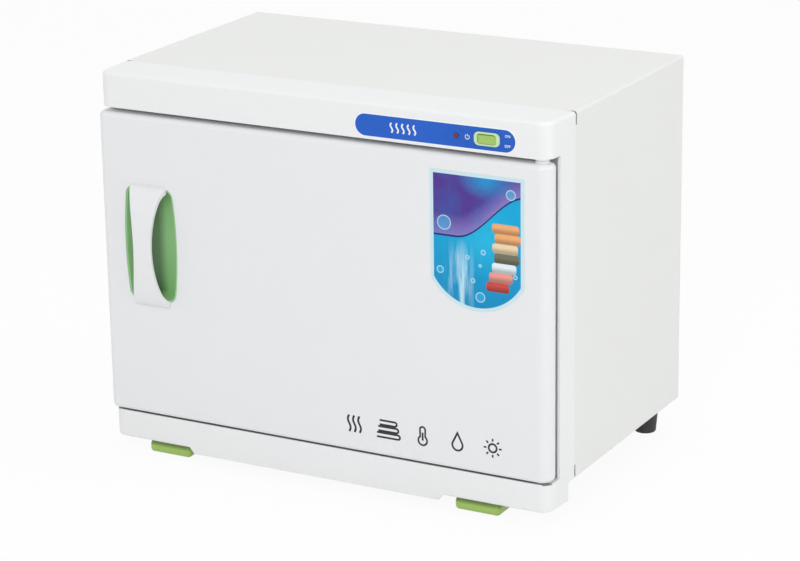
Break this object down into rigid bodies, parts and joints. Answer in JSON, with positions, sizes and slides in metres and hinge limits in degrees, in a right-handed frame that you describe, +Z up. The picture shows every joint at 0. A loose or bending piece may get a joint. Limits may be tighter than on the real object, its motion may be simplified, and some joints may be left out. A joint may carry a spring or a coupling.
{
  "type": "towel sterilizer cabinet",
  "caption": "Counter-top hot-towel cabinet: white steel shell, moulded front, side-hinged door with a strap handle, wire racks, drip tray and steriliser lamp inside.",
  "frame": {"origin": "on the table, under the middle of the cabinet's overall box", "axes": "seen from the front, +X to the right, +Y to the back and +Z up; the door faces -Y"},
  "size_m": [0.45, 0.302, 0.36],
  "materials": {
    "white_moulding": "smooth moulded white",
    "white_panel": "smooth moulded white",
    "white_steel": "smooth white powder coat",
    "galvanised_steel": "plain galvanised sheet",
    "aluminium_sheet": "rolled aluminium sheet",
    "mica": "pressed mica",
    "glass_wool": "glass-wool blanket",
    "foam": "light foam slab",
    "green_plastic": "moulded green",
    "green_switch": "moulded light green",
    "green_bezel": "moulded pale green",
    "black_rubber": "moulded black rubber",
    "chromed_wire": "bright chromed wire",
    "stainless_steel": "brushed stainless steel",
    "plated_screws": "zinc-plated",
    "white_nylon": "moulded nylon",
    "black_nylon": "moulded nylon",
    "fuse_metal": "plain metal case",
    "ballast_case": "plain lacquered case",
    "lamp_glass": "clear quartz-like glass tube",
    "red_lens": "clear red lens",
    "blue_film": "printed film",
    "sticker_film": "printed film",
    "grey_silicone": "soft silicone"
  },
  "bodies": {
    "cabinet": {"back_panel": "white_steel", "back_screws": "plated_screws", "base_plate": "galvanised_steel", "control_label": "blue_film", "cord_bush": "black_nylon", "foot_screws": "plated_screws", "front_foot_left": "green_plastic", "front_foot_right": "green_plastic", "front_frame": "white_moulding", "heater_clamp": "aluminium_sheet", "heater_plate": "mica", "hinge_pin_lower": "stainless_steel", "hinge_pin_upper": "stainless_steel", "indicator_lens": "red_lens", "inner_liner": "aluminium_sheet", "insulation_wrap": "glass_wool", "interlock_switch": "black_nylon", "lamp_ballast": "ballast_case", "lamp_guard": "stainless_steel", "lamp_holder_left": "white_nylon", "lamp_holder_right": "white_nylon", "magnet_catch": "black_nylon", "outer_shell": "white_steel", "rack_rail_left": "stainless_steel", "rack_rail_right": "stainless_steel", "rear_foot_left": "black_rubber", "rear_foot_right": "black_rubber", "rear_insulation": "glass_wool", "switch_housing": "green_bezel", "terminal_block": "white_nylon", "thermal_fuse": "fuse_metal", "thermostat": "black_nylon", "uv_lamp": "lamp_glass"},
    "door": {"door_shell": "white_moulding", "handle_cup": "green_plastic", "door_insulation": "foam", "door_inner_panel": "white_panel", "door_gasket": "grey_silicone", "door_sticker": "sticker_film", "panel_screws": "plated_screws", "strike_plate": "stainless_steel", "hinge_bush_upper": "white_nylon", "hinge_bush_lower": "white_nylon"},
    "power_rocker": {"power_rocker": "green_switch"},
    "lower_rack": {"lower_rack": "chromed_wire"},
    "upper_rack": {"upper_rack": "chromed_wire"},
    "drip_tray": {"drip_tray": "aluminium_sheet"},
    "interlock_plunger": {"interlock_plunger": "white_nylon"}
  },
  "joints": [
    {"name": "door_hinge", "type": "hinge", "parent": "cabinet", "child": "door", "pos_m": [0.213, -0.124, 0.184], "axis": [0, 0, 1], "range_deg": [0, 120]},
    {"name": "power_rocker_tilt", "type": "hinge", "parent": "cabinet", "child": "power_rocker", "pos_m": [0.166, -0.131, 0.341], "axis": [-1, 0, 0], "range_deg": [0, 16]},
    {"name": "lower_rack_slide", "type": "slide", "parent": "cabinet", "child": "lower_rack", "axis": [0, -1, 0], "range_m": [0, 0.012]},
    {"name": "upper_rack_slide", "type": "slide", "parent": "cabinet", "child": "upper_rack", "axis": [0, -1, 0], "range_m": [0, 0.012]},
    {"name": "drip_tray_slide", "type": "slide", "parent": "cabinet", "child": "drip_tray", "axis": [0, -1, 0], "range_m": [0, 0.012]},
    {"name": "interlock_travel", "type": "slide", "parent": "cabinet", "child": "interlock_plunger", "axis": [0, -1, 0], "range_m": [0, 0.0025]}
  ],
  "couplings": [
    {"joint": "interlock_travel", "follows": "door_hinge", "m_per_rad": 0.00119}
  ]
}
